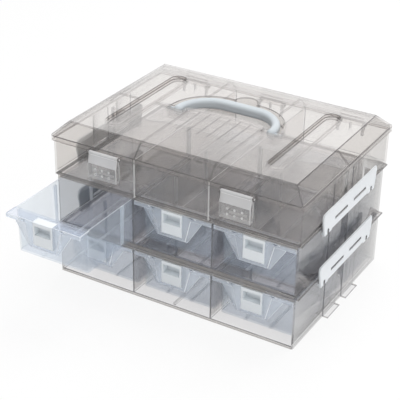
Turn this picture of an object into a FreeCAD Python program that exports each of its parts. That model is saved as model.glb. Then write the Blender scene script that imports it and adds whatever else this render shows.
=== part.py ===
import FreeCAD, Part
import math
import os

from FreeCAD import Vector

# Clear plastic art supply box: a hinged lid over a divided tray, clipped onto two drawer tiers.
# Millimetres, +Z up. The origin is the middle of the footprint on the standing surface,
# +X runs to the right along the front, and the drawers open towards -Y.

# Drawer tiers
frame_width = 330.2
frame_depth = 240.2
tier_height = 69.6
wall = 2.0
divider = 2.0
bay_count = 3
skirt_depth = 2.6
floor_thickness = 2.4
lintel_height = 4.4
lintel_thickness = 2.5
roof_thickness = 2.2
frame_corner = 2.0
rest_margin = 0.75
nest_height = 1.8
nest_width = 2.0
nest_clearance = 0.5
bearing_rib = 3.0

# Tray and lid
tray_overhang = 2.4
tray_height = 51.0
tray_corner = 3.0
partition_x = 50.5
partition_thickness = 1.6
partition_drop = 1.0
groove_rib = 1.4
cross_divider_y = 1.5
cross_divider_thickness = 1.5
cross_divider_height = 38.0
divider_clearance = 0.3
lid_fit = 0.5
lid_overlap = 5.0
lid_rim_height = 6.7
lid_corner = 5.0
hip_rise = 16.8
hip_inset = 17.0
lid_rib_thickness = 1.2
lid_rib_height = 2.4
lid_cross_rib_y = -2.0

# Recesses in the lid's top
trough_x = 110.0
trough_length = 166.0
trough_width = 21.0
trough_depth = 6.0
trough_chamfer = 2.2
pocket_half_width = 75.0
pocket_corner = 55.0
pocket_depth = 12.2
pocket_front_y = -8.0
pocket_arm_width = 20.5
island_edge_y = 1.5
island_crown = 8.0
finger_notch_radius = 15.0
grip_rib_count = 6
grip_rib_pitch = 14.0
grip_rib_thickness = 0.9
grip_rib_height = 1.4
grip_rib_reach = 58.0

# Carrying handle
handle_margin = 4.8
handle_height = 12.4
handle_crown_width = 13.6
handle_end_width = 10.4
handle_round = 4.6
handle_axis_y = -1.0
handle_axis_drop = 5.0
handle_pin_radius = 2.5
handle_pin_reach = 4.2
socket_depth = 4.5
socket_radius = 4.9
pin_clearance = 0.06

# Rear hinges between tray and lid
hinge_spacing = 114.0
gusset_pitch = 17.0
gusset_thickness = 3.0
gusset_drop = 14.0
hinge_offset = 5.4
hinge_drop = 3.7
hinge_eye_radius = 3.4
hinge_barrel_radius = 3.0
hinge_pin_radius = 1.6
hinge_side_gap = 0.4
hinge_snap_width = 2.6
hinge_arm_thickness = 2.2

# Front latches on the lid
latch_spacing = 89.5
latch_width = 40.0
latch_wall = 1.8
latch_axis_out = 3.3
latch_axis_rise = 2.0
latch_reach = 3.9
latch_fold_drop = 12.7
latch_height = 31.7
latch_hub_radius = 2.3
latch_pin_radius = 1.3
latch_ear_thickness = 2.4
latch_ear_radius = 2.6
latch_side_gap = 0.4
latch_cheek_gap = 1.2
catch_width = 24.0
catch_height = 3.0
catch_reach = 2.6
catch_gap = 0.4
latch_dot_radius = 1.1
latch_dot_height = 0.5
latch_dot_pitch_x = 9.5
latch_dot_pitch_z = 7.0

# Side clips that hold the tiers together
clip_centre_y = 3.5
clip_length = 150.0
clip_thickness = 2.2
clip_rise = 21.0
clip_edge_drop = 9.0
clip_gap = 1.55
clip_corner = 9.0
clip_lip_height = 3.5
clip_lip_reach = 2.0
clip_axis_drop = 8.0
clip_axis_inset = 0.4
clip_pivot_spacing = 61.0
clip_foot_drop = 2.9
clip_foot_length = 7.0
clip_pin_radius = 1.5
clip_lug_thickness = 4.0
clip_lug_radius = 2.9
clip_side_gap = 0.4
tab_spacing = 26.0
tab_length = 34.0
tab_thickness = 2.0
tab_proud = 0.4
slot_end_gap = 0.5
slot_under_gap = 0.6
slot_over_gap = 1.2
pilaster_relief = 0.8
pilaster_top_gap = 0.5

# Drawers
drawer_open = 104.0
open_tier = 1
open_bay = 0
drawer_wall = 1.6
drawer_lift = 0.3
runner_height = 1.0
runner_width = 3.2
runner_x = 17.0
drawer_top_gap = 0.6
drawer_back_gap = 2.5
drawer_side_gap = 1.5
drawer_flange_gap = 0.7
drawer_draft = 2.0
drawer_corner = 4.0
drawer_front_recess = 17.0
flange_thickness = 1.8
strip_height = 5.2
lip_setback = 0.8
lip_drop = 36.0
lip_shoulder_drop = 7.2
lip_top_half = 39.3
lip_bottom_half = 21.0
panel_top_half = 25.5
panel_bottom_half = 18.3
panel_margin = 1.2
strip_notch_x = 31.5
strip_notch_radius = 1.5
guide_rib = 1.2
guide_gap = 1.8
guide_top_gap = 3.0

# Drawer pulls
pull_width = 27.6
pull_height = 30.0
pull_depth = 11.2
pull_proud = 0.5
pull_fit = 0.2
pull_wall = 1.6
pull_top_gap = 0.6
pull_recess_width = 23.0
pull_recess_height = 12.0
pull_recess_top = 4.5
pull_recess_depth = 9.4
pull_key = 1.2
pull_key_thickness = 1.4

# Sizes that follow from the ones above
frame_half_x = frame_width / 2
frame_half_y = frame_depth / 2
frame_front = -frame_half_y
floor_top = skirt_depth + floor_thickness
lintel_bottom = tier_height - lintel_height
bay_width = (frame_width - 2 * wall - (bay_count - 1) * divider) / bay_count
bay_pitch = bay_width + divider

tray_half_x = frame_half_x + tray_overhang
tray_half_y = frame_half_y + tray_overhang
tray_base = 2 * tier_height
tray_top = tray_base + tray_height
tray_floor_top = tray_base + skirt_depth + floor_thickness
rest_half_x = tray_half_x + rest_margin
rest_back = tray_half_y + rest_margin

lid_half_x = tray_half_x + lid_fit + wall
lid_half_y = tray_half_y + lid_fit + wall
lid_base = tray_top - lid_overlap
hip_base = lid_base + lid_rim_height
lid_top = hip_base + hip_rise
pocket_floor = lid_top - pocket_depth

clip_inner_x = rest_half_x + clip_gap
clip_outer_x = clip_inner_x + clip_thickness
clip_axis_x = clip_inner_x - clip_axis_inset
tab_tip_x = clip_outer_x + tab_proud

hinge_y = tray_half_y + hinge_offset
hinge_z = lid_base - hinge_drop

drawer_bottom = floor_top + drawer_lift + runner_height
drawer_top = lintel_bottom - drawer_top_gap
drawer_front_wall = frame_front + drawer_front_recess
drawer_back = frame_half_y - wall - drawer_back_gap
tub_half_top = bay_width / 2 - drawer_side_gap
flange_half = bay_width / 2 - drawer_flange_gap

EPS = 0.5


def box(x0, x1, y0, y1, z0, z1):
    """Return the block between two opposite corners."""
    return Part.makeBox(x1 - x0, y1 - y0, z1 - z0, Vector(x0, y0, z0))


def rod_x(x0, x1, y, z, radius):
    """Return a cylinder along X."""
    return Part.makeCylinder(radius, x1 - x0, Vector(x0, y, z), Vector(1, 0, 0))


def rod_y(y0, y1, x, z, radius):
    """Return a cylinder along Y."""
    return Part.makeCylinder(radius, y1 - y0, Vector(x, y0, z), Vector(0, 1, 0))


def rod_z(z0, z1, x, y, radius):
    """Return a cylinder along Z."""
    return Part.makeCylinder(radius, z1 - z0, Vector(x, y, z0), Vector(0, 0, 1))


def prism(points, direction):
    """Return the solid swept by a polygon along a direction."""
    return Part.Face(Part.makePolygon(points + points[:1])).extrude(direction)


def prism_x(profile, x0, x1):
    """Return a (y, z) profile extruded along X."""
    return prism([Vector(x0, y, z) for y, z in profile], Vector(x1 - x0, 0, 0))


def prism_y(profile, y0, y1):
    """Return an (x, z) profile extruded along Y."""
    return prism([Vector(x, y0, z) for x, z in profile], Vector(0, y1 - y0, 0))


def eight_sided(across, height, radius):
    """Return the corners of a regular octagon whose flats lie at the radius."""
    turns = [math.radians(22.5 + 45 * side) for side in range(8)]
    reach = radius / math.cos(turns[0])
    return [(across + reach * math.cos(turn), height + reach * math.sin(turn)) for turn in turns]


def round_rect(x0, x1, y0, y1, radius, z):
    """Return a level rectangular wire with round corners."""
    bend = radius * (1 - math.sqrt(0.5))
    corners = [
        ((x1 - radius, y0), (x1 - bend, y0 + bend), (x1, y0 + radius)),
        ((x1, y1 - radius), (x1 - bend, y1 - bend), (x1 - radius, y1)),
        ((x0 + radius, y1), (x0 + bend, y1 - bend), (x0, y1 - radius)),
        ((x0, y0 + radius), (x0 + bend, y0 + bend), (x0 + radius, y0)),
    ]
    edges = []
    last = Vector(*corners[-1][2], z)
    for corner in corners:
        start, middle, end = [Vector(*point, z) for point in corner]
        edges.append(Part.LineSegment(last, start).toShape())
        edges.append(Part.Arc(start, middle, end).toShape())
        last = end
    return Part.Wire(edges)


def round_block(half_x, half_y, radius, z0, z1):
    """Return an upright block with round corners, centred on the Z axis."""
    face = Part.Face(round_rect(-half_x, half_x, -half_y, half_y, radius, z0))
    return face.extrude(Vector(0, 0, z1 - z0))


def mirror_x(shape):
    """Return the shape reflected left to right."""
    return shape.mirror(Vector(0, 0, 0), Vector(1, 0, 0))


def joined(first, others):
    """Return one clean solid made of several."""
    return first.fuse(others).removeSplitter()


def rounded(shape, radius, is_picked):
    """Return the shape with the edges that is_picked accepts filleted."""
    return shape.makeFillet(radius, [edge for edge in shape.Edges if is_picked(edge)])


def bay_x(bay):
    """Return the middle of a drawer bay."""
    return (bay - (bay_count - 1) / 2) * bay_pitch


def side_tabs(half_x, relief_top):
    """Return the catch tabs of the right-hand side at z = 0, with the pilaster over each."""
    solids = []
    for sign in (-1, 1):
        middle = clip_centre_y + sign * tab_spacing
        start = middle - tab_length / 2
        end = middle + tab_length / 2
        solids.append(box(half_x - wall / 2, tab_tip_x, start, end, 0, tab_thickness))
        solids.append(box(half_x - wall / 2, half_x + pilaster_relief, start, end, 0, relief_top))
    return solids


def clip_lugs(z_joint):
    """Return the right-hand lugs below a joint, open-sided so that the clip's pins snap in."""
    axis_z = z_joint - clip_axis_drop
    solids = []
    for sign in (-1, 1):
        y0 = clip_centre_y + sign * clip_pivot_spacing - clip_lug_thickness / 2
        y1 = y0 + clip_lug_thickness
        root = [
            (frame_half_x - wall / 2, z_joint - roof_thickness / 2),
            (clip_axis_x - clip_lug_radius, z_joint - roof_thickness / 2),
            (clip_axis_x, axis_z + clip_lug_radius),
            (clip_axis_x, axis_z - clip_lug_radius),
            (frame_half_x - wall / 2, axis_z - clip_lug_radius),
        ]
        ring = eight_sided(clip_axis_x, axis_z, clip_lug_radius)
        lug = prism_y(root, y0, y1).fuse(prism_y(ring, y0, y1))
        eye = rod_y(y0 - EPS, y1 + EPS, clip_axis_x, axis_z, clip_pin_radius + pin_clearance)
        mouth_half = 0.8 * clip_pin_radius
        mouth = box(
            clip_axis_x, clip_axis_x + 2 * clip_lug_radius, y0 - EPS, y1 + EPS,
            axis_z - mouth_half, axis_z + mouth_half,
        )
        solids.append(lug.cut([eye, mouth]))
    return solids


def bearing_ribs(half_x, half_y):
    """Return the crossed ribs under a floor, flush with its skirt and clear of the ridge below."""
    half = bearing_rib / 2
    reach_x = half_x - wall - 2 * nest_clearance - nest_width - tray_overhang
    reach_y = half_y - wall - 2 * nest_clearance - nest_width - tray_overhang
    return [
        box(-reach_x, reach_x, -half, half, 0, skirt_depth + EPS),
        box(-half, half, -reach_y, reach_y, 0, skirt_depth + EPS),
    ]


def make_frame(upper_half_x, upper_half_y):
    """Return a drawer tier standing on z = 0, with a ridge that fits inside the unit above."""
    shell = round_block(frame_half_x, frame_half_y, frame_corner, 0, tier_height)
    back = frame_half_y - wall
    cuts = [box(-frame_half_x + wall, frame_half_x - wall, frame_front + wall, back, -EPS, skirt_depth)]
    for bay in range(bay_count):
        x0 = bay_x(bay) - bay_width / 2
        x1 = x0 + bay_width
        cuts.append(box(x0, x1, frame_front - EPS, back, floor_top, lintel_bottom))
        behind_lintel = frame_front + lintel_thickness
        cuts.append(box(x0, x1, behind_lintel, back, lintel_bottom - EPS, tier_height - roof_thickness))
    shell = shell.cut(cuts)
    roof_bottom = tier_height - roof_thickness
    ledge = box(-rest_half_x, rest_half_x, frame_front + frame_corner, rest_back, roof_bottom, tier_height)
    ridge_x = upper_half_x - wall - nest_clearance
    ridge_y = upper_half_y - wall - nest_clearance
    ridge_base = tier_height - EPS
    ridge_top = tier_height + nest_height
    ridge = box(-ridge_x, ridge_x, -ridge_y, ridge_y, ridge_base, ridge_top)
    inner_x = ridge_x - nest_width
    inner_y = ridge_y - nest_width
    ridge = ridge.cut(box(-inner_x, inner_x, -inner_y, inner_y, ridge_base - EPS, ridge_top + EPS))
    front_trim = box(-frame_width, frame_width, -frame_depth, frame_front + wall, ridge_base, ridge_top)
    ridge = ridge.cut(front_trim)
    right = side_tabs(frame_half_x, roof_bottom + EPS) + clip_lugs(tier_height)
    left = [mirror_x(solid) for solid in right]
    below = bearing_ribs(frame_half_x, frame_half_y)
    return joined(shell, [ledge, ridge] + below + right + left)


def hinge_gussets(x_middle):
    """Return the tray's two snap-in eyes round one hinge, and the plain gusset between them."""
    wall_y = tray_half_y - wall / 2
    side = [
        (wall_y, hinge_z + hinge_eye_radius / 2),
        (hinge_y, hinge_z + hinge_eye_radius),
        (hinge_y, hinge_z - hinge_eye_radius),
        (wall_y, hinge_z - gusset_drop),
    ]
    solids = []
    for sign in (-1, 1):
        x0 = x_middle + sign * gusset_pitch - gusset_thickness / 2
        x1 = x0 + gusset_thickness
        ring = eight_sided(hinge_y, hinge_z, hinge_eye_radius)
        gusset = prism_x(side, x0, x1).fuse(prism_x(ring, x0, x1))
        eye = rod_x(x0 - EPS, x1 + EPS, hinge_y, hinge_z, hinge_pin_radius + pin_clearance)
        mouth = box(
            x0 - EPS, x1 + EPS, hinge_y, hinge_y + 2 * hinge_eye_radius,
            hinge_z - hinge_snap_width / 2, hinge_z + hinge_snap_width / 2,
        )
        solids.append(gusset.cut([eye, mouth]))
    plain_y = hinge_y - hinge_barrel_radius - 2 * hinge_side_gap
    plain = [
        (wall_y, hinge_z + hinge_eye_radius / 2),
        (plain_y, hinge_z + hinge_eye_radius / 2),
        (plain_y, hinge_z - gusset_drop / 2),
        (wall_y, hinge_z - gusset_drop),
    ]
    solids.append(prism_x(plain, x_middle - gusset_thickness / 2, x_middle + gusset_thickness / 2))
    return solids


def hinge_arm(x_middle):
    """Return the lid's half of one hinge: an arm whose barrel turns on a pin between the eyes."""
    half_pin = gusset_pitch + gusset_thickness
    half_arm = gusset_pitch - gusset_thickness / 2 - hinge_side_gap
    arm_out = hinge_y + hinge_arm_thickness
    arm_top = lid_base + lid_rim_height - wall / 2
    rim_y = lid_half_y - wall / 2
    bend = arm_out - lid_half_y - hinge_arm_thickness
    arm = [
        (rim_y, arm_top),
        (arm_out - bend, arm_top),
        (arm_out, arm_top - bend),
        (arm_out, hinge_z),
        (hinge_y, hinge_z),
        (hinge_y, lid_base + wall / 2),
        (rim_y, lid_base + wall),
    ]
    return [
        prism_x(arm, x_middle - half_arm, x_middle + half_arm),
        rod_x(x_middle - half_arm, x_middle + half_arm, hinge_y, hinge_z, hinge_barrel_radius),
        rod_x(x_middle - half_pin, x_middle + half_pin, hinge_y, hinge_z, hinge_pin_radius),
    ]


def divider_grooves():
    """Return the pairs of upright ribs in the tray that hold the loose cross dividers."""
    faces = [
        (-tray_half_x + wall, 1),
        (-partition_x - partition_thickness / 2, -1),
        (-partition_x + partition_thickness / 2, 1),
    ]
    top = tray_floor_top + cross_divider_height
    gap = cross_divider_thickness / 2 + divider_clearance
    ribs = []
    for face_x, sign in faces:
        near, far = sorted((face_x - sign * wall / 4, face_x + sign * groove_rib))
        for start in (cross_divider_y - gap - groove_rib, cross_divider_y + gap):
            ribs.append(box(near, far, start, start + groove_rib, tray_floor_top - EPS, top))
    return ribs + [mirror_x(rib) for rib in ribs]


def make_tray():
    """Return the top tray with its fixed partitions, hinge gussets, latch catches and tabs."""
    tray = round_block(tray_half_x, tray_half_y, tray_corner, tray_base, tray_top)
    inner_x = tray_half_x - wall
    inner_y = tray_half_y - wall
    corner = tray_corner - wall / 2
    cavity = round_block(inner_x, inner_y, corner, tray_floor_top, tray_top + EPS)
    recess = box(-inner_x, inner_x, -inner_y, inner_y, tray_base - EPS, tray_base + skirt_depth)
    tray = tray.cut([cavity, recess])
    added = divider_grooves()
    for sign in (-1, 1):
        x0 = sign * partition_x - partition_thickness / 2
        x1 = x0 + partition_thickness
        y_end = inner_y + wall / 2
        added.append(box(x0, x1, -y_end, y_end, tray_floor_top - EPS, tray_top - partition_drop))
        catch_x = sign * latch_spacing
        catch_y = -tray_half_y
        catch_z = lid_base + latch_axis_rise - latch_height + latch_wall + catch_gap
        catch = [
            (catch_y + wall / 2, catch_z),
            (catch_y - catch_reach, catch_z),
            (catch_y - catch_reach, catch_z + catch_height / 3),
            (catch_y + wall / 2, catch_z + catch_height + wall),
        ]
        added.append(prism_x(catch, catch_x - catch_width / 2, catch_x + catch_width / 2))
    for place in (-1, 0, 1):
        added += hinge_gussets(place * hinge_spacing)
    relief_top = tray_height - lid_overlap - pilaster_top_gap
    right = side_tabs(tray_half_x, relief_top)
    lower = right + [mirror_x(solid) for solid in right] + bearing_ribs(tray_half_x, tray_half_y)
    added += [solid.translated(Vector(0, 0, tray_base)) for solid in lower]
    return joined(tray, added)


def make_cross_divider(x_left, x_right):
    """Return a loose divider plate that stands in the grooves between two walls."""
    y0 = cross_divider_y - cross_divider_thickness / 2
    y1 = y0 + cross_divider_thickness
    z0 = tray_floor_top + divider_clearance
    z1 = tray_floor_top + cross_divider_height
    plate = box(x_left + divider_clearance, x_right - divider_clearance, y0, y1, z0, z1)
    scoop_radius = (x_right - x_left) / 2
    scoop_z = z1 + scoop_radius - cross_divider_thickness * 3
    middle = (x_left + x_right) / 2
    return plate.cut(rod_y(y0 - EPS, y1 + EPS, middle, scoop_z, scoop_radius))


def hipped(half, top_half, low, fold_z, top_z):
    """Return the outline of a hipped section: upright rims, sloping hips and a level top."""
    right = [(half, low), (half, fold_z), (top_half, top_z)]
    return right + [(-across, z) for across, z in reversed(right)]


def lid_form(shrink):
    """Return the lid's outer form, drawn in all round by a wall of the given thickness."""
    lean = math.atan2(hip_inset, hip_rise)
    fold_z = hip_base - shrink * math.tan(lean / 2)
    inset = hip_inset + shrink * math.tan((math.pi / 2 - lean) / 2)
    half_x = lid_half_x - shrink
    half_y = lid_half_y - shrink
    low = lid_base - (EPS if shrink else 0)
    top = lid_top - shrink
    across = prism_y(hipped(half_x, lid_half_x - inset, low, fold_z, top), -half_y, half_y)
    along = prism_x(hipped(half_y, lid_half_y - inset, low, fold_z, top), -half_x, half_x)
    corners = round_block(half_x, half_y, lid_corner - shrink, low, top)
    return across.common(along).common(corners)


def stadium(length, width, x, z):
    """Return a level face with round ends, its length along Y."""
    half = width / 2
    bend = length / 2 - half
    right = [Vector(x + half, y, z) for y in (-bend, bend)]
    left = [Vector(x - half, y, z) for y in (-bend, bend)]
    back = Vector(x, length / 2, z)
    front = Vector(x, -length / 2, z)
    edges = [
        Part.LineSegment(right[0], right[1]).toShape(),
        Part.Arc(right[1], back, left[1]).toShape(),
        Part.LineSegment(left[1], left[0]).toShape(),
        Part.Arc(left[0], front, right[0]).toShape(),
    ]
    return Part.Face(Part.Wire(edges))


def trough_solid(x, grow):
    """Return one pen trough with chamfered floor edges, grown outwards and downwards."""
    floor = lid_top - trough_depth - grow
    block = stadium(trough_length + 2 * grow, trough_width + 2 * grow, x, floor)
    block = block.extrude(Vector(0, 0, lid_top - floor))
    low_edges = [edge for edge in block.Edges if edge.BoundBox.ZMax < floor + EPS]
    return block.makeChamfer(trough_chamfer, low_edges)


def pocket_face(z):
    """Return the arched outline of the handle pocket as a level face."""
    centre_x = pocket_half_width - pocket_corner
    lean = pocket_corner * math.sqrt(0.5)
    arm_x = pocket_half_width - pocket_arm_width
    points = {
        "front_right": (pocket_half_width, pocket_front_y),
        "right": (pocket_half_width, 0),
        "right_bend": (centre_x + lean, lean),
        "back_right": (centre_x, pocket_corner),
        "back_left": (-centre_x, pocket_corner),
        "left_bend": (-centre_x - lean, lean),
        "left": (-pocket_half_width, 0),
        "front_left": (-pocket_half_width, pocket_front_y),
        "arm_left": (-arm_x, pocket_front_y),
        "island_left": (-arm_x, island_edge_y),
        "island_middle": (0, island_edge_y + island_crown),
        "island_right": (arm_x, island_edge_y),
        "arm_right": (arm_x, pocket_front_y),
    }
    at = {name: Vector(x, y, z) for name, (x, y) in points.items()}
    runs = [
        ("front_right", "right"),
        ("right", "right_bend", "back_right"),
        ("back_right", "back_left"),
        ("back_left", "left_bend", "left"),
        ("left", "front_left"),
        ("front_left", "arm_left"),
        ("arm_left", "island_left"),
        ("island_left", "island_middle", "island_right"),
        ("island_right", "arm_right"),
        ("arm_right", "front_right"),
    ]
    edges = []
    for run in runs:
        ends = [at[name] for name in run]
        curve = Part.Arc(*ends) if len(ends) == 3 else Part.LineSegment(*ends)
        edges.append(curve.toShape())
    return Part.Face(Part.Wire(edges))


def pocket_solid(grow, z0, z1):
    """Return the handle pocket with its finger notch, grown outwards and between two heights."""
    outline = pocket_face(z0)
    if grow:
        outline = outline.makeOffset2D(grow)
    body = outline.extrude(Vector(0, 0, z1 - z0))
    notch = rod_z(z0, z1, 0, pocket_corner, finger_notch_radius + grow)
    return body.fuse(notch).removeSplitter()


def lid_ribs():
    """Return the low stiffening ribs under the lid's top."""
    inside = lid_form(wall)
    half_x = lid_half_x - wall
    half_y = lid_half_y - wall
    pocket_edge = pocket_half_width + wall / 2
    long_band = inside.cut(inside.translated(Vector(0, 0, -lid_rib_height)))
    fine_band = inside.cut(inside.translated(Vector(0, 0, -grip_rib_height)))
    upper = box(-half_x, half_x, -half_y, half_y, tray_top + lid_fit, lid_top)
    long_band = long_band.common(upper)
    thin = lid_rib_thickness / 2
    ribs = []
    for sign in (-1, 1):
        x = sign * partition_x
        ribs.append(long_band.common(box(x - thin, x + thin, -half_y, half_y, lid_base, lid_top)))
        near, far = sorted((sign * pocket_edge, sign * half_x))
        y = lid_cross_rib_y
        ribs.append(long_band.common(box(near, far, y - thin, y + thin, lid_base, lid_top)))
    for place in range(grip_rib_count):
        x = (place - (grip_rib_count - 1) / 2) * grip_rib_pitch
        fine = grip_rib_thickness / 2
        start = island_edge_y + wall - grip_rib_reach
        slab = box(x - fine, x + fine, start, island_edge_y + wall, lid_base, lid_top)
        ribs.append(fine_band.common(slab))
    return ribs


def latch_axis():
    """Return the (y, z) line on which the front latches turn."""
    return -lid_half_y - latch_axis_out, lid_base + latch_axis_rise


def latch_ears(x_middle):
    """Return the two ears on the lid's front rim that carry one latch."""
    axis_y, axis_z = latch_axis()
    inner = latch_width / 2 + latch_side_gap
    solids = []
    for sign in (-1, 1):
        x0, x1 = sorted((x_middle + sign * inner, x_middle + sign * (inner + latch_ear_thickness)))
        web = box(x0, x1, axis_y, -lid_half_y + wall / 2, lid_base, axis_z + latch_ear_radius)
        ear = web.fuse(prism_x(eight_sided(axis_y, axis_z, latch_ear_radius), x0, x1))
        hole = rod_x(x0 - EPS, x1 + EPS, axis_y, axis_z, latch_pin_radius + pin_clearance)
        solids.append(ear.cut(hole))
    return solids


def make_lid():
    """Return the lid: a hipped shell with a handle pocket, two troughs, hinge arms and latch ears."""
    lid = lid_form(0).cut(lid_form(wall))
    added = [pocket_solid(wall, pocket_floor - wall, lid_top)]
    cuts = [pocket_solid(0, pocket_floor, lid_top + EPS)]
    axis_z = lid_top - handle_axis_drop
    for sign in (-1, 1):
        added.append(trough_solid(sign * trough_x, wall))
        cuts.append(trough_solid(sign * trough_x, 0))
        boss_end = pocket_half_width + socket_depth + wall / 2
        near, far = sorted((sign * pocket_half_width, sign * boss_end))
        added.append(rod_x(near, far, handle_axis_y, axis_z, socket_radius))
        near, far = sorted((sign * (pocket_half_width - wall), sign * (pocket_half_width + socket_depth)))
        cuts.append(rod_x(near, far, handle_axis_y, axis_z, handle_pin_radius + pin_clearance))
        added += latch_ears(sign * latch_spacing)
    for place in (-1, 0, 1):
        added += hinge_arm(place * hinge_spacing)
    lid = joined(lid, added + lid_ribs())
    return lid.cut(cuts).removeSplitter()


def arch_face(outer, bend, front_y, z):
    """Return the level face under an arch with straight legs and quarter-round shoulders."""
    centre_x = outer - bend
    lean = bend * math.sqrt(0.5)
    right = [(outer, front_y), (outer, 0), (centre_x + lean, lean), (centre_x, bend)]
    at = [Vector(x, y, z) for x, y in right]
    across = [Vector(-x, y, z) for x, y in right]
    edges = [
        Part.LineSegment(at[0], at[1]).toShape(),
        Part.Arc(at[1], at[2], at[3]).toShape(),
        Part.LineSegment(at[3], across[3]).toShape(),
        Part.Arc(across[3], across[2], across[1]).toShape(),
        Part.LineSegment(across[1], across[0]).toShape(),
        Part.LineSegment(across[0], at[0]).toShape(),
    ]
    return Part.Face(Part.Wire(edges))


def make_handle():
    """Return the arched handle lying in its pocket, broad at the crown and slim at the ends."""
    axis_z = lid_top - handle_axis_drop
    low = axis_z - handle_height / 2
    outer = pocket_half_width - handle_margin
    inner = outer - handle_end_width
    bend = pocket_corner - handle_margin
    up = Vector(0, 0, handle_height)
    bar = arch_face(outer, bend, handle_axis_y, low).extrude(up)
    bar = bar.cut(arch_face(inner, bend - handle_crown_width, handle_axis_y - EPS, low).extrude(up))
    hubs = []
    pins = []
    for sign in (-1, 1):
        near, far = sorted((sign * inner, sign * outer))
        ahead = box(near, far, handle_axis_y - handle_height, handle_axis_y, low, low + handle_height)
        hubs.append(rod_x(near, far, handle_axis_y, axis_z, handle_height / 2).common(ahead))
        near, far = sorted((sign * inner, sign * (pocket_half_width + handle_pin_reach)))
        pins.append(rod_x(near, far, handle_axis_y, axis_z, handle_pin_radius))
    def is_rim(edge):
        bounds = edge.BoundBox
        return bounds.YLength > EPS or (bounds.YMin > EPS and bounds.ZLength < EPS)

    bar = rounded(joined(bar, hubs), handle_round, is_rim)
    return joined(bar, pins)


def make_latch(x_middle):
    """Return one front latch: a boxed lever that hangs from the lid's rim over the tray's catch."""
    axis_y, axis_z = latch_axis()
    front = axis_y - latch_reach
    fold = axis_z - latch_fold_drop
    bottom = axis_z - latch_height
    x0 = x_middle - latch_width / 2
    x1 = x_middle + latch_width / 2
    plate = [
        (axis_y - latch_hub_radius + latch_wall / 2, axis_z),
        (front, fold),
        (front, bottom),
        (front + latch_wall, bottom),
        (front + latch_wall, fold - latch_wall / 4),
        (axis_y + latch_wall / 2, axis_z),
    ]
    lip_y = -tray_half_y - catch_reach - catch_gap
    cheek_y = -tray_half_y - latch_cheek_gap
    below_rim = lid_base - latch_cheek_gap
    cheek = [
        (axis_y, axis_z),
        (front + latch_wall / 2, fold),
        (front + latch_wall / 2, bottom),
        (lip_y, bottom),
        (cheek_y, bottom + latch_wall + catch_height),
        (cheek_y, fold),
        (axis_y + latch_hub_radius, below_rim),
    ]
    solids = [
        box(x0, x1, front + latch_wall / 2, lip_y, bottom, bottom + latch_wall),
        prism_x(cheek, x0, x0 + latch_wall),
        prism_x(cheek, x1 - latch_wall, x1),
        rod_x(x0, x1, axis_y, axis_z, latch_hub_radius),
    ]
    pin_reach = latch_side_gap + latch_ear_thickness
    solids.append(rod_x(x0 - pin_reach, x1 + pin_reach, axis_y, axis_z, latch_pin_radius))
    stud = prism_y(eight_sided(0, 0, latch_dot_radius), front - latch_dot_height, front + EPS)
    dots_z = (fold + bottom) / 2
    for column in (-1, 0, 1):
        for row in (-0.5, 0.5):
            x = x_middle + column * latch_dot_pitch_x
            z = dots_z + row * latch_dot_pitch_z
            solids.append(stud.translated(Vector(x, 0, z)))
    return joined(prism_x(plate, x0, x1), solids)


def make_clip(z_joint):
    """Return the right-hand clip over a joint, hinged below it and slotted over the tabs above it."""
    axis_z = z_joint - clip_axis_drop
    edge = z_joint - clip_edge_drop
    top = z_joint + clip_rise
    lip = top - clip_lip_height
    y0 = clip_centre_y - clip_length / 2
    y1 = clip_centre_y + clip_length / 2
    section = [
        (clip_inner_x, axis_z - clip_foot_drop),
        (clip_outer_x, axis_z - clip_foot_drop),
        (clip_outer_x, lip),
        (clip_outer_x + clip_lip_reach, top),
        (clip_inner_x + clip_lip_reach, top),
        (clip_inner_x, lip),
    ]
    plate = prism_y(section, y0, y1)
    foot = clip_foot_length + clip_lug_thickness / 2 + clip_side_gap
    foot_inner = clip_pivot_spacing - foot
    span = (clip_centre_y - foot_inner, clip_centre_y + foot_inner)
    wide = (clip_inner_x - EPS, clip_outer_x + clip_lip_reach + EPS)
    cuts = [box(*wide, *span, axis_z - 2 * clip_foot_drop, edge)]
    added = []
    for sign in (-1, 1):
        end_y = clip_centre_y + sign * clip_length / 2
        bend_y = end_y - sign * clip_corner
        bend_z = top - clip_corner
        corner = box(*wide, *sorted((end_y, bend_y)), bend_z, top + EPS)
        cuts.append(corner.cut(rod_x(*wide, bend_y, bend_z, clip_corner)))
        foot_y = clip_centre_y + sign * (clip_pivot_spacing + foot)
        low_z = axis_z - clip_foot_drop
        slant = [
            Vector(wide[0], foot_y, low_z - EPS),
            Vector(wide[0], end_y, bend_z),
            Vector(wide[0], end_y + sign * clip_corner, bend_z),
            Vector(wide[0], end_y + sign * clip_corner, low_z - EPS),
        ]
        cuts.append(prism(slant, Vector(wide[1] - wide[0], 0, 0)))
        slot_y = clip_centre_y + sign * tab_spacing
        slot_half = tab_length / 2 + slot_end_gap
        low = z_joint - slot_under_gap
        high = z_joint + tab_thickness + slot_over_gap
        cuts.append(box(*wide, slot_y - slot_half, slot_y + slot_half, low, high))
        lug_y = clip_centre_y + sign * clip_pivot_spacing
        gap_half = clip_lug_thickness / 2 + clip_side_gap
        notch_top = axis_z + clip_lug_radius + 2 * clip_side_gap
        cuts.append(box(*wide, lug_y - gap_half, lug_y + gap_half, axis_z - 2 * clip_lug_radius, notch_top))
        added.append(rod_y(lug_y - foot, lug_y + foot, clip_axis_x, axis_z, clip_pin_radius))
    return joined(plate.cut(cuts), added)


def drafted_block(low_half, top_half, front, back, corner, z0, z1):
    """Return a block whose sides and back lean outwards, with its upright edges rounded."""
    across = prism_y([(-low_half, z0), (low_half, z0), (top_half, z1), (-top_half, z1)], front, back)
    low_back = back - drawer_draft / 2
    along = prism_x([(front, z0), (low_back, z0), (back, z1), (front, z1)], -top_half, top_half)
    return rounded(across.common(along), corner, lambda edge: edge.BoundBox.ZLength > (z1 - z0) / 2)


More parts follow.
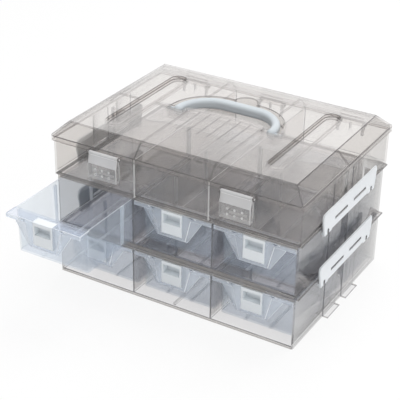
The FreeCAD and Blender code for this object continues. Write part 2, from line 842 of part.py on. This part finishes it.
def make_drawer():
    """Return a drawer for the middle of the lowest tier, closed: a drafted tub with a hanging lip."""
    top_half = tub_half_top
    low_half = top_half - drawer_draft
    front = drawer_front_wall
    back = drawer_back
    top = drawer_top
    thin = drawer_wall
    outer = drafted_block(low_half, top_half, front, back, drawer_corner, drawer_bottom, top)
    hollow = drafted_block(
        low_half - thin, top_half - thin, front + thin, back - thin,
        drawer_corner - thin, drawer_bottom + thin, top + EPS,
    )
    added = [box(-flange_half, flange_half, frame_front, front + thin, top - flange_thickness, top)]
    lip_front = frame_front + lip_setback
    lip_back = lip_front + flange_thickness
    added.append(box(-flange_half, flange_half, frame_front, lip_back, top - strip_height, top))
    lip = [
        (-lip_top_half, top - strip_height + EPS),
        (-lip_top_half, top - lip_shoulder_drop),
        (-lip_bottom_half, top - lip_drop),
        (lip_bottom_half, top - lip_drop),
        (lip_top_half, top - lip_shoulder_drop),
        (lip_top_half, top - strip_height + EPS),
    ]
    added.append(prism_y(lip, lip_front, lip_back))
    panel = [
        (-panel_top_half, top - strip_height + EPS),
        (-panel_bottom_half, top - lip_drop + panel_margin),
        (panel_bottom_half, top - lip_drop + panel_margin),
        (panel_top_half, top - strip_height + EPS),
    ]
    added.append(prism_y(panel, frame_front, lip_front + flange_thickness / 2))
    length = back - front
    for share in (1 / 3, 2 / 3):
        middle = front + length * share
        for start in (middle - guide_gap / 2 - guide_rib, middle + guide_gap / 2):
            for sign in (-1, 1):
                near, far = sorted((sign * (low_half - thin - guide_rib), sign * (top_half - thin / 2)))
                rib = box(near, far, start, start + guide_rib, drawer_bottom + thin / 2, top - guide_top_gap)
                added.append(rib.common(outer))
    runner = [
        (-runner_width / 2, drawer_bottom + thin / 2),
        (-runner_width / 2, drawer_bottom),
        (-runner_width / 4, drawer_bottom - runner_height),
        (runner_width / 4, drawer_bottom - runner_height),
        (runner_width / 2, drawer_bottom),
        (runner_width / 2, drawer_bottom + thin / 2),
    ]
    runner = prism_y(runner, front + thin, back - drawer_corner)
    for sign in (-1, 1):
        added.append(runner.translated(Vector(sign * runner_x, 0, 0)))
    window_half = pull_width / 2 + pull_fit
    window_back = frame_front + pull_depth + pull_fit
    window_low = top - pull_top_gap - pull_height - pull_fit
    cuts = [box(-window_half, window_half, frame_front - EPS, window_back, window_low, top + EPS)]
    for sign in (-1, 1):
        x = sign * strip_notch_x
        cuts.append(rod_y(frame_front - EPS, lip_front, x, top, strip_notch_radius))
    return joined(outer.cut(hollow), added).cut(cuts).removeSplitter()


def make_pull():
    """Return the white pull of that drawer: a finger recess over a hollow face."""
    half = pull_width / 2
    front = frame_front - pull_proud
    back = frame_front + pull_depth
    top = drawer_top - pull_top_gap
    low = top - pull_height
    recess_top = top - pull_recess_top
    recess_low = recess_top - pull_recess_height
    body = box(-half, half, front, back, low, top)
    recess = box(
        -pull_recess_width / 2, pull_recess_width / 2, front - EPS, front + pull_recess_depth,
        recess_low, recess_top,
    )
    inner = half - pull_wall
    hollow_top = recess_low - pull_wall
    hollow = box(-inner, inner, front + pull_wall, back + EPS, low + pull_wall, hollow_top)
    key_front = frame_front + lip_setback + flange_thickness + pull_fit
    key_top = drawer_top - strip_height - pull_fit
    keys = [
        box(-half - pull_key, half + pull_key, key_front, key_front + pull_key_thickness, low, key_top)
    ]
    front_edges = [edge for edge in body.Edges if edge.BoundBox.YMax < front + EPS / 2]
    body = body.makeChamfer(pull_proud, front_edges)
    return joined(body, keys).cut([recess, hollow]).removeSplitter()


def export(name, shape):
    """Write one piece to its own STEP file."""
    shape.exportStep("parts/" + name + ".step")


def main():
    """Build every piece in place and write it out."""
    os.makedirs("parts", exist_ok=True)
    tiers = ("lower", "upper")
    bays = ("left", "centre", "right")
    export("lower_frame", make_frame(frame_half_x, frame_half_y))
    upper = make_frame(tray_half_x, tray_half_y)
    export("upper_frame", upper.translated(Vector(0, 0, tier_height)))
    export("top_tray", make_tray())
    inner_x = tray_half_x - wall
    half = partition_thickness / 2
    columns = {
        "left": (-inner_x, -partition_x - half),
        "centre": (-partition_x + half, partition_x - half),
        "right": (partition_x + half, inner_x),
    }
    for name, walls in columns.items():
        export("tray_divider_" + name, make_cross_divider(*walls))
    export("lid", make_lid())
    export("carry_handle", make_handle())
    export("latch_left", make_latch(-latch_spacing))
    export("latch_right", make_latch(latch_spacing))
    for tier, name in enumerate(tiers):
        clip = make_clip((tier + 1) * tier_height)
        export("clip_right_" + name, clip)
        export("clip_left_" + name, mirror_x(clip))
    drawer = make_drawer()
    pull = make_pull()
    for tier, tier_name in enumerate(tiers):
        for bay, bay_name in enumerate(bays):
            pulled = drawer_open if (tier, bay) == (open_tier, open_bay) else 0
            place = Vector(bay_x(bay), -pulled, tier * tier_height)
            export("drawer_" + tier_name + "_" + bay_name, drawer.translated(place))
            export("pull_" + tier_name + "_" + bay_name, pull.translated(place))


main()
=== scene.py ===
"""Clear stacking art supply box: finishes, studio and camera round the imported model."""

import logging
import math
from dataclasses import dataclass
from enum import Enum, IntEnum
from typing import Any, Dict, List, Optional, Sequence, Tuple, Union

import bmesh
import bpy
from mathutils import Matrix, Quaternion, Vector


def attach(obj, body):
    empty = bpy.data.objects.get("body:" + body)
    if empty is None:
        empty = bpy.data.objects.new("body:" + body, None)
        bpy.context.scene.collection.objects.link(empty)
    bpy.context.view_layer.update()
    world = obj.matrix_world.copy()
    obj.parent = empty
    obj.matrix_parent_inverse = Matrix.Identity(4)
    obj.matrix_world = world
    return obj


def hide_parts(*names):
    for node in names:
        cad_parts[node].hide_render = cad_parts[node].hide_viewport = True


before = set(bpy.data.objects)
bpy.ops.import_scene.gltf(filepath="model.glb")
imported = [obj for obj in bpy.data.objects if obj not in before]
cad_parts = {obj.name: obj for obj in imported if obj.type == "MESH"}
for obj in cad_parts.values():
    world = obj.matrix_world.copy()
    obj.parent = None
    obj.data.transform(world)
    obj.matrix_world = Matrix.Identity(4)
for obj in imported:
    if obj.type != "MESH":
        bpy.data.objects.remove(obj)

LOG = logging.getLogger("art_supply_box")

Colour = Tuple[float, float, float]
Point = Tuple[float, float, float]
Operand = Union["Signal", float]

WHITE: Colour = (1.0, 1.0, 1.0)
OPAQUE = 1.0
WELD = 1e-6
MIX_SHARE, MIX_FIRST, MIX_SECOND, MIX_RESULT = 0, 6, 7, 2


class Side(Enum):
    """The two hands of the box, seen from the front."""

    LEFT = "left"
    RIGHT = "right"


class Tier(Enum):
    """The two drawer tiers."""

    LOWER = "lower"
    UPPER = "upper"


class Bay(Enum):
    """The drawer bays and tray columns, seen from the front."""

    LEFT = "left"
    CENTRE = "centre"
    RIGHT = "right"


class Surface(IntEnum):
    """What a face of a clear moulding is, which is also its material slot."""

    WALL = 0
    CORNER = 1
    END = 2
    LEVEL = 3
    FRONT = 4
    LINTEL = 5


class SightRay(Enum):
    """The rays by which the camera sees, straight, mirrored or through glass."""

    STRAIGHT = "Is Camera Ray"
    MIRRORED = "Is Glossy Ray"
    THROUGH = "Is Transmission Ray"


@dataclass(frozen=True)
class Signal:
    """A shader value that takes Python arithmetic; each operator adds a Math node."""

    graph: "ShaderGraph"
    socket: bpy.types.NodeSocket

    def _math(self, operation: str, first: Operand, second: Operand) -> "Signal":
        """Add one Math node.

        Args:
            operation: The Math node's operation.
            first: Its first value.
            second: Its second value.

        Returns:
            The node's result.
        """
        node = self.graph.node("ShaderNodeMath", {"operation": operation}, {0: first, 1: second})
        return self.graph.signal(node, "Value")

    def __add__(self, other: Operand) -> "Signal":
        """Sum with a value."""
        return self._math("ADD", self, other)

    def __radd__(self, other: Operand) -> "Signal":
        """Sum with a plain number."""
        return self._math("ADD", other, self)

    def __mul__(self, other: Operand) -> "Signal":
        """Product with a value."""
        return self._math("MULTIPLY", self, other)

    def __rmul__(self, other: Operand) -> "Signal":
        """Product with a plain number."""
        return self._math("MULTIPLY", other, self)

    def __pow__(self, other: Operand) -> "Signal":
        """Power of this."""
        return self._math("POWER", self, other)

    def __rpow__(self, other: Operand) -> "Signal":
        """Power of a plain number."""
        return self._math("POWER", other, self)

    def or_more(self, other: Operand) -> "Signal":
        """Return the larger of this and a value."""
        return self._math("MAXIMUM", self, other)


class ShaderGraph:
    """The nodes of a material or of the surround, and the one way in which they are made."""

    def __init__(self, owner: Union[bpy.types.Material, bpy.types.World]) -> None:
        """Start with no nodes.

        Args:
            owner: The material or surround.
        """
        owner.use_nodes = True
        self.tree = owner.node_tree
        self.tree.nodes.clear()

    def node(
        self,
        kind: str,
        settings: Optional[Dict[str, Any]] = None,
        inputs: Optional[Dict[Union[str, int], Any]] = None,
    ) -> bpy.types.Node:
        """Add a node.

        Args:
            kind: The node's type.
            settings: Its own properties, set before its sockets.
            inputs: Values or links of its sockets, by name or place. A node stands for its first output.

        Returns:
            The node.
        """
        made = self.tree.nodes.new(kind)
        for name, value in (settings or {}).items():
            setattr(made, name, value)
        for name, value in (inputs or {}).items():
            if isinstance(value, Signal):
                value = value.socket
            elif isinstance(value, bpy.types.Node):
                value = value.outputs[0]
            if isinstance(value, bpy.types.NodeSocket):
                self.tree.links.new(value, made.inputs[name])
            elif isinstance(value, tuple):
                made.inputs[name].default_value = (*value, OPAQUE)
            else:
                made.inputs[name].default_value = value
        return made

    def signal(self, node: bpy.types.Node, output: str) -> Signal:
        """Wrap one output of a node."""
        return Signal(self, node.outputs[output])

    def place(self) -> bpy.types.NodeSocket:
        """Return the piece's own coordinates, in metres."""
        return self.node("ShaderNodeTexCoord").outputs["Object"]

    def noise(self, spot: bpy.types.NodeSocket, size: float, detail: float) -> Signal:
        """Return cloudy noise.

        Args:
            spot: The coordinates it is read at.
            size: About the width of one cloud, in metres.
            detail: How many finer layers it has.

        Returns:
            A value about one half.
        """
        inputs = {"Vector": spot, "Scale": 1.0 / size, "Detail": detail}
        return self.signal(self.node("ShaderNodeTexNoise", None, inputs), "Fac")

    def blend(self, share: Operand, first: Colour, second: Colour) -> bpy.types.NodeSocket:
        """Return a mix of two colours.

        Args:
            share: How much of the second colour there is.
            first: The first colour.
            second: The second colour.

        Returns:
            The mixed colour's socket.
        """
        inputs = {MIX_SHARE: share, MIX_FIRST: first, MIX_SECOND: second}
        return self.node("ShaderNodeMix", {"data_type": "RGBA"}, inputs).outputs[MIX_RESULT]

    def layer(self, share: Operand, first: bpy.types.Node, second: bpy.types.Node) -> bpy.types.Node:
        """Return a mix of two shaders.

        Args:
            share: How much of the second shader there is.
            first: The first shader.
            second: The second shader.

        Returns:
            The mixed shader.
        """
        return self.node("ShaderNodeMixShader", None, {0: share, 1: first, 2: second})


@dataclass(frozen=True)
class ClearPlastic:
    """Polished clear plastic: tinted light goes through, with a faint cloudy body and a mirror skin."""

    name: str
    tint: Colour
    body: Colour
    haze: float
    head_on_gloss: float = 0.04
    gloss_rise: float = 5.0
    gloss_roughness: float = 0.05
    flow_size: float = 0.09
    flow_detail: float = 2.0
    flow_depth: float = 0.35
    body_roughness: float = 0.22
    roughness_spread: float = 0.16
    polish_size: float = 0.02
    polish_detail: float = 3.0
    refraction: float = 1.5

    def material(self) -> bpy.types.Material:
        """Build the finish and return its material."""
        material = bpy.data.materials.new(self.name)
        graph = ShaderGraph(material)
        spot = graph.place()
        flow = graph.noise(spot, self.flow_size, self.flow_detail)
        polish = graph.noise(spot, self.polish_size, self.polish_detail)
        roughness = self.body_roughness + self.roughness_spread * polish
        inputs = {"Base Color": self.body, "Roughness": roughness, "IOR": self.refraction}
        body = graph.node("ShaderNodeBsdfPrincipled", None, inputs)
        through = graph.node("ShaderNodeBsdfTransparent", None, {"Color": self.tint})
        cloud = self.haze * (1.0 - self.flow_depth) + (2.0 * self.haze * self.flow_depth) * flow
        wall = graph.layer(cloud, through, body)
        facing = graph.signal(graph.node("ShaderNodeLayerWeight"), "Facing")
        gloss_share = self.head_on_gloss + (1.0 - self.head_on_gloss) * facing ** self.gloss_rise
        gloss = graph.node("ShaderNodeBsdfGlossy", None, {"Roughness": self.gloss_roughness})
        whole = graph.layer(gloss_share, wall, gloss)
        graph.node("ShaderNodeOutputMaterial", None, {"Surface": whole})
        return material


@dataclass(frozen=True)
class WhitePlastic:
    """Opaque white moulding with a satin skin, softly rounded edges and faint flow clouds."""

    name: str
    colour: Colour
    shade: Colour
    roughness: float
    roughness_spread: float = 0.10
    polish_size: float = 0.012
    cloud_size: float = 0.03
    cloud_detail: float = 3.0
    edge_radius: float = 0.0006
    edge_samples: int = 6
    grain_size: float = 0.0009
    grain_detail: float = 2.0
    grain_height: float = 0.00002
    grain_strength: float = 0.5
    refraction: float = 1.49

    def material(self) -> bpy.types.Material:
        """Build the finish and return its material."""
        material = bpy.data.materials.new(self.name)
        graph = ShaderGraph(material)
        spot = graph.place()
        cloud = graph.noise(spot, self.cloud_size, self.cloud_detail)
        grain = graph.noise(spot, self.grain_size, self.grain_detail)
        polish = graph.noise(spot, self.polish_size, self.cloud_detail)
        rounded = graph.node("ShaderNodeBevel", {"samples": self.edge_samples}, {"Radius": self.edge_radius})
        skin = graph.node(
            "ShaderNodeBump",
            None,
            {
                "Height": grain,
                "Distance": self.grain_height,
                "Strength": self.grain_strength,
                "Normal": rounded,
            },
        )
        body = graph.node(
            "ShaderNodeBsdfPrincipled",
            None,
            {
                "Base Color": graph.blend(cloud, self.colour, self.shade),
                "Roughness": self.roughness - self.roughness_spread / 2.0 + self.roughness_spread * polish,
                "IOR": self.refraction,
                "Normal": skin,
            },
        )
        graph.node("ShaderNodeOutputMaterial", None, {"Surface": body})
        return material


@dataclass(frozen=True)
class ClearMoulding:
    """A clear moulding: the finish of each kind of face, and how the kinds are told apart."""

    slot: str
    wall: ClearPlastic
    corner: ClearPlastic
    end: ClearPlastic
    level: ClearPlastic
    front: Optional[ClearPlastic] = None
    lintel: Optional[ClearPlastic] = None
    front_depth: float = 0.0
    level_slope: float = 0.9
    seams: Tuple[float, ...] = ()
    seam_half: float = 0.0008
    seam_facing: float = 0.9
    ease: float = 0.0004
    end_width: float = 0.0038
    end_corners: float = 0.7
    foot_height: float = 0.003
    corner_angle: float = math.radians(25.0)
    flat_angle: float = math.radians(0.5)
    flat_area: float = 0.0001

    def finishes(self) -> List[ClearPlastic]:
        """Return the finishes in the order of their material slots."""
        chosen = {
            Surface.WALL: self.wall,
            Surface.CORNER: self.corner,
            Surface.END: self.end,
            Surface.LEVEL: self.level,
            Surface.FRONT: self.front or self.wall,
            Surface.LINTEL: self.lintel or self.end,
        }
        return [chosen[surface] for surface in Surface]

    def is_corner(self, edge: bmesh.types.BMEdge) -> bool:
        """Tell whether an edge is a corner of the moulding."""
        return edge.is_manifold and edge.calc_face_angle(0.0) > self.corner_angle

    def is_end(self, face: bmesh.types.BMFace, lowest: float) -> bool:
        """Tell whether a face is the narrow end of a wall.

        Args:
            face: The face.
            lowest: The height of the moulding's underside, whose foot ribs have no ends.

        Returns:
            Whether it is narrow, above the foot, with corners along it.
        """
        round_it = face.calc_perimeter()
        corners = sum(edge.calc_length() for edge in face.edges if self.is_corner(edge))
        narrow = 2.0 * face.calc_area() / round_it < self.end_width
        above_foot = face.calc_center_median().z > lowest + self.foot_height
        return narrow and above_foot and corners > self.end_corners * round_it

    def mark_faces(self, form: bmesh.types.BMesh) -> None:
        """Mark the wall ends, the front and the level panels, and shade only small faces smooth.

        Args:
            form: The moulding, with each flat face whole.
        """
        foremost = min(vertex.co.y for vertex in form.verts)
        lowest = min(vertex.co.z for vertex in form.verts)
        for face in form.faces:
            face.smooth = face.calc_area() < self.flat_area
            if self.is_end(face, lowest):
                face.material_index = Surface.END
            elif face.calc_center_median().y < foremost + self.front_depth:
                face.material_index = Surface.FRONT
            elif abs(face.normal.z) > self.level_slope:
                face.material_index = Surface.LEVEL

    def mark_seam(self, form: bmesh.types.BMesh, seam: float) -> None:
        """Show where a partition meets the front and back walls as the end of a wall.

        Args:
            form: The moulding.
            seam: The partition's place across the moulding.
        """
        across = Vector((1.0, 0.0, 0.0))
        for edge in (seam - self.seam_half, seam + self.seam_half):
            geom = [*form.verts, *form.edges, *form.faces]
            bmesh.ops.bisect_plane(form, geom=geom, dist=WELD, plane_co=across * edge, plane_no=across)
        for face in form.faces:
            within = abs(face.calc_center_median().x - seam) < self.seam_half
            facing = abs(face.normal.y) > self.seam_facing
            if within and facing and face.material_index == Surface.WALL:
                face.material_index = Surface.END

    def mark_lintels(self, form: bmesh.types.BMesh) -> None:
        """Mark the parts of the wall ends that are wider than they are high.

        Args:
            form: The moulding, in triangles.
        """
        for face in form.faces:
            wide = [vertex.co.x for vertex in face.verts]
            high = [vertex.co.z for vertex in face.verts]
            lying = max(wide) - min(wide) > max(high) - min(high)
            if lying and face.material_index == Surface.END:
                face.material_index = Surface.LINTEL

    def ease_corners(self, form: bmesh.types.BMesh) -> None:
        """Bevel the corners and mark the new faces.

        Args:
            form: The moulding, in triangles.
        """
        eased = bmesh.ops.bevel(
            form,
            geom=[edge for edge in form.edges if self.is_corner(edge)],
            offset=self.ease,
            offset_type="OFFSET",
            affect="EDGES",
            segments=1,
            profile=0.5,
            material=-1,
        )
        for face in eased["faces"]:
            face.material_index = Surface.CORNER

    def shape(self, node: str) -> bpy.types.Mesh:
        """Copy a CAD node with its corners eased.

        Args:
            node: The node's name.

        Returns:
            The copy, whose faces name their finish by material slot.
        """
        form = bmesh.new()
        form.from_mesh(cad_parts[node].data)
        bmesh.ops.remove_doubles(form, verts=form.verts, dist=WELD)
        bmesh.ops.dissolve_limit(form, angle_limit=self.flat_angle, verts=form.verts, edges=form.edges)
        self.mark_faces(form)
        for seam in self.seams:
            self.mark_seam(form, seam)
        bmesh.ops.triangulate(form, faces=form.faces, quad_method="BEAUTY", ngon_method="BEAUTY")
        self.mark_lintels(form)
        self.ease_corners(form)
        mesh = bpy.data.meshes.new(f"{node}_eased")
        form.to_mesh(mesh)
        form.free()
        mesh.set_sharp_from_angle(angle=self.corner_angle)
        return mesh


SMOKE_CORNER = ClearPlastic(
    name="smoke_corner", tint=(0.34, 0.34, 0.36), body=(0.13, 0.13, 0.14), haze=0.28, head_on_gloss=0.06
)
SMOKE_END = ClearPlastic(name="smoke_end", tint=(0.38, 0.38, 0.39), body=(0.21, 0.21, 0.22), haze=0.35)
SMOKE_LINTEL = ClearPlastic(name="smoke_lintel", tint=(0.84, 0.82, 0.80), body=(0.62, 0.59, 0.56), haze=0.25)
LID_SMOKE = ClearMoulding(
    slot="smoke",
    wall=ClearPlastic(name="lid_wall", tint=(0.930, 0.919, 0.911), body=(0.74, 0.72, 0.71), haze=0.03),
    corner=ClearPlastic(name="lid_corner", tint=(0.38, 0.36, 0.36), body=(0.17, 0.16, 0.17), haze=0.32),
    end=ClearPlastic(name="lid_end", tint=(0.90, 0.88, 0.87), body=(0.70, 0.68, 0.66), haze=0.12),
    # The lid's level faces are paler and hazier than its walls: a painted sheen, standing in for the soft
    # light reflected on the lid top.
    level=ClearPlastic(name="lid_top_painted_sheen", tint=(0.966, 0.958, 0.953), body=(0.85, 0.83, 0.82), haze=0.18),
)
# The latch's corners and wall ends, where its studs are, are whitish and hazy: painted highlights for the
# glints on the studs and edges. Its faces that slope up or down are paler and hazier too: a painted
# highlight for the light on the top slope.
LATCH_SMOKE = ClearMoulding(
    slot="smoke",
    wall=ClearPlastic(name="latch_wall", tint=(0.880, 0.876, 0.874), body=(0.82, 0.82, 0.82), haze=0.17),
    corner=ClearPlastic(name="latch_corner", tint=(0.70, 0.70, 0.70), body=(0.94, 0.94, 0.95), haze=0.70),
    end=ClearPlastic(name="latch_end", tint=(0.85, 0.85, 0.85), body=(0.97, 0.97, 0.97), haze=0.80),
    level=ClearPlastic(name="latch_slope", tint=(0.90, 0.90, 0.90), body=(0.95, 0.95, 0.96), haze=0.45),
    level_slope=0.1,
)
TRAY_SMOKE = ClearMoulding(
    slot="smoke",
    wall=ClearPlastic(name="tray_wall", tint=(0.926, 0.916, 0.907), body=(0.60, 0.58, 0.57), haze=0.02),
    corner=SMOKE_CORNER,
    end=ClearPlastic(name="tray_end", tint=(0.80, 0.79, 0.78), body=(0.93, 0.92, 0.91), haze=0.60),
    level=ClearPlastic(name="tray_floor", tint=(0.974, 0.968, 0.962), body=(0.66, 0.64, 0.62), haze=0.02),
    seams=(-0.0505, 0.0505),
)
TIER_SMOKE = ClearMoulding(
    slot="smoke",
    wall=ClearPlastic(name="tier_wall", tint=(0.838, 0.831, 0.829), body=(0.44, 0.43, 0.43), haze=0.06),
    corner=SMOKE_CORNER,
    end=SMOKE_END,
    level=ClearPlastic(name="tier_floor", tint=(0.938, 0.934, 0.936), body=(0.54, 0.53, 0.54), haze=0.03),
    lintel=SMOKE_LINTEL,
)
DRAWER_CLEAR = ClearMoulding(
    slot="drawer_clear",
    wall=ClearPlastic(name="drawer_wall", tint=(0.972, 0.986, 0.999), body=(0.82, 0.92, 1.00), haze=0.11),
    corner=ClearPlastic(name="drawer_corner", tint=(0.72, 0.78, 0.88), body=(0.94, 0.97, 1.00), haze=0.75),
    end=ClearPlastic(name="drawer_end", tint=(0.88, 0.91, 0.96), body=(0.84, 0.90, 0.97), haze=0.55),
    level=ClearPlastic(name="drawer_floor", tint=(0.940, 0.955, 0.985), body=(0.70, 0.76, 0.90), haze=0.08),
    front=ClearPlastic(name="drawer_lip", tint=(0.94, 0.960, 0.985), body=(0.84, 0.89, 0.96), haze=0.28),
    front_depth=0.012,
)
CLIP_WHITE = WhitePlastic(
    name="clip_white", colour=(0.81, 0.84, 0.87), shade=(0.77, 0.80, 0.83), roughness=0.36
)
PULL_WHITE = WhitePlastic(
    name="pull_white", colour=(0.83, 0.87, 0.90), shade=(0.79, 0.83, 0.86), roughness=0.36
)
# The handle is the same white plastic as the clips and pulls. Its darker grey colour is painted shade,
# standing in for the shading of the handle in its pocket.
HANDLE_WHITE_PAINTED_SHADE = WhitePlastic(
    name="handle_white_painted_shade", colour=(0.56, 0.60, 0.63), shade=(0.51, 0.55, 0.58), roughness=0.30
)

Finish = Union[ClearPlastic, WhitePlastic]


class Palette:
    """Every finish of the box, each built once."""

    def __init__(self) -> None:
        """Start with no finish built."""
        self._made: Dict[str, bpy.types.Material] = {}

    def paint(self, finish: Finish) -> bpy.types.Material:
        """Return a finish's material, built the first time it is asked for.

        Args:
            finish: The finish.

        Returns:
            Its material.
        """
        if finish.name not in self._made:
            self._made[finish.name] = finish.material()
        return self._made[finish.name]

    def coat(self, node: str, finish: WhitePlastic) -> None:
        """Give a CAD node its finish.

        Args:
            node: The node's name.
            finish: What it is moulded in.
        """
        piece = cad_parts[node]
        piece.data.materials.clear()
        piece.data.materials.append(self.paint(finish))
        LOG.info("%s in %s", node, finish.name)

    def mould(self, node: str, body: str, moulding: ClearMoulding) -> None:
        """Show a clear CAD node as a copy with eased corners.

        Args:
            node: The node's name.
            body: The moving body that it belongs to.
            moulding: Its finishes.
        """
        mesh = moulding.shape(node)
        for finish in moulding.finishes():
            mesh.materials.append(self.paint(finish))
        piece = bpy.data.objects.new(f"{node}_eased", mesh)
        bpy.context.scene.collection.objects.link(piece)
        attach(piece, body)
        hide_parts(node)
        LOG.info("%s in %s, %d faces", node, moulding.slot, len(mesh.polygons))


@dataclass
class DrawerTiers:
    """The two stacked frames and the drawers that slide in them."""

    frame_finish: ClearMoulding = TIER_SMOKE
    drawer_finish: ClearMoulding = DRAWER_CLEAR
    pull_finish: WhitePlastic = PULL_WHITE

    def dress(self, palette: Palette) -> None:
        """Coat the frames, drawers and pulls.

        Args:
            palette: The finishes.
        """
        for tier in Tier:
            palette.mould(f"{tier.value}_frame", "box", self.frame_finish)
            for bay in Bay:
                drawer = f"drawer_{tier.value}_{bay.value}"
                palette.mould(drawer, drawer, self.drawer_finish)
                palette.coat(f"pull_{tier.value}_{bay.value}", self.pull_finish)


@dataclass
class DividedTray:
    """The top tray and its loose cross dividers."""

    finish: ClearMoulding = TRAY_SMOKE

    def dress(self, palette: Palette) -> None:
        """Coat the tray and its dividers.

        Args:
            palette: The finishes.
        """
        palette.mould("top_tray", "box", self.finish)
        for column in Bay:
            palette.mould(f"tray_divider_{column.value}", "box", self.finish)


@dataclass
class CarryLid:
    """The hipped lid with its handle and front latches."""

    lid_finish: ClearMoulding = LID_SMOKE
    latch_finish: ClearMoulding = LATCH_SMOKE
    handle_finish: WhitePlastic = HANDLE_WHITE_PAINTED_SHADE

    def dress(self, palette: Palette) -> None:
        """Coat the lid, handle and latches.

        Args:
            palette: The finishes.
        """
        palette.mould("lid", "lid", self.lid_finish)
        palette.coat("carry_handle", self.handle_finish)
        for side in Side:
            latch = f"latch_{side.value}"
            palette.mould(latch, latch, self.latch_finish)


@dataclass
class SideClips:
    """The four clips that hold the stack together."""

    finish: WhitePlastic = CLIP_WHITE

    def dress(self, palette: Palette) -> None:
        """Coat the clips.

        Args:
            palette: The finishes.
        """
        for side in Side:
            for tier in Tier:
                palette.coat(f"clip_{side.value}_{tier.value}", self.finish)


@dataclass(frozen=True)
class SoftLamp:
    """A square soft lamp that isn't mirrored in clear walls."""

    name: str
    place: Point
    size: float
    power: float

    def hang(self, target: Vector) -> None:
        """Hang the lamp.

        Args:
            target: What it looks at.
        """
        data = bpy.data.lights.new(self.name, "AREA")
        data.shape = "SQUARE"
        data.size = self.size
        data.energy = self.power
        lamp = bpy.data.objects.new(self.name, data)
        lamp.location = self.place
        lamp.visible_glossy = False
        lamp.rotation_euler = (target - Vector(self.place)).to_track_quat("-Z", "Y").to_euler()
        bpy.context.scene.collection.objects.link(lamp)


@dataclass
class Studio:
    """A white floor, a white surround and soft lamps, with the camera of the photograph."""

    camera_place: Point = (0.63331, -1.14511, 0.80854)
    camera_target: Point = (-0.00949, -0.03862, 0.11)
    camera_roll: float = math.radians(1.063)
    lens: float = 106.49
    floor_size: float = 12.0
    floor_colour: Colour = (0.90, 0.90, 0.90)
    floor_glow: float = 0.88
    white_strength: float = 1.0
    surround_light: float = 0.42
    clear_layers: int = 96
    lamps: Tuple[SoftLamp, ...] = (
        SoftLamp(name="key", place=(-0.9, -1.3, 1.9), size=1.3, power=8.0),
        SoftLamp(name="fill", place=(1.7, -0.7, 1.1), size=1.2, power=11.0),
        SoftLamp(name="top", place=(0.1, 0.9, 2.1), size=1.5, power=38.0),
    )

    def build(self) -> None:
        """Set the floor, surround, lamps, camera and colour transform."""
        scene = bpy.context.scene
        scene.view_settings.view_transform = "Standard"
        scene.cycles.transparent_max_bounces = self.clear_layers
        self._floor()
        self._surround()
        for lamp in self.lamps:
            lamp.hang(Vector(self.camera_target))
        self._camera()

    def _seen(self, graph: ShaderGraph) -> Signal:
        """Return 1 for what the camera sees, and 0 for what only gives light.

        Args:
            graph: The nodes it is used in.

        Returns:
            The value.
        """
        path = graph.node("ShaderNodeLightPath")
        straight, mirrored, through = (graph.signal(path, ray.value) for ray in SightRay)
        return straight.or_more(mirrored).or_more(through)

    def _floor(self) -> None:
        """Lay a plain pale floor that keeps the box's soft shadow."""
        bpy.ops.mesh.primitive_plane_add(size=self.floor_size)
        floor = bpy.context.object
        floor.name = "floor"
        material = bpy.data.materials.new("floor_white")
        graph = ShaderGraph(material)
        matt = graph.node("ShaderNodeBsdfDiffuse", None, {"Color": self.floor_colour})
        glow = graph.node("ShaderNodeEmission", None, {"Color": WHITE, "Strength": self.white_strength})
        shown = graph.layer(self._seen(graph) * self.floor_glow, matt, glow)
        graph.node("ShaderNodeOutputMaterial", None, {"Surface": shown})
        floor.data.materials.append(material)

    def _surround(self) -> None:
        """Make the surround white to the eye and softer as light."""
        world = bpy.data.worlds.new("surround")
        bpy.context.scene.world = world
        graph = ShaderGraph(world)
        dim, white = (
            graph.node("ShaderNodeBackground", None, {"Color": WHITE, "Strength": strength})
            for strength in (self.surround_light, self.white_strength)
        )
        shown = graph.layer(self._seen(graph), dim, white)
        graph.node("ShaderNodeOutputWorld", None, {"Surface": shown})

    def _camera(self) -> None:
        """Stand the camera where the photograph was taken."""
        data = bpy.data.cameras.new("camera")
        data.lens = self.lens
        camera = bpy.data.objects.new("camera", data)
        camera.location = self.camera_place
        look = (Vector(self.camera_target) - Vector(self.camera_place)).to_track_quat("-Z", "Y")
        roll = Quaternion((0.0, 0.0, 1.0), self.camera_roll)
        camera.rotation_euler = (look @ roll).to_euler()
        bpy.context.scene.collection.objects.link(camera)
        bpy.context.scene.camera = camera


def main() -> None:
    """Dress every sub-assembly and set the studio."""
    logging.basicConfig(level=logging.INFO, format="%(name)s: %(message)s")
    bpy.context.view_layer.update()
    palette = Palette()
    for assembly in (DrawerTiers(), DividedTray(), CarryLid(), SideClips()):
        assembly.dress(palette)
    Studio().build()


if __name__ == "__main__":
    main()
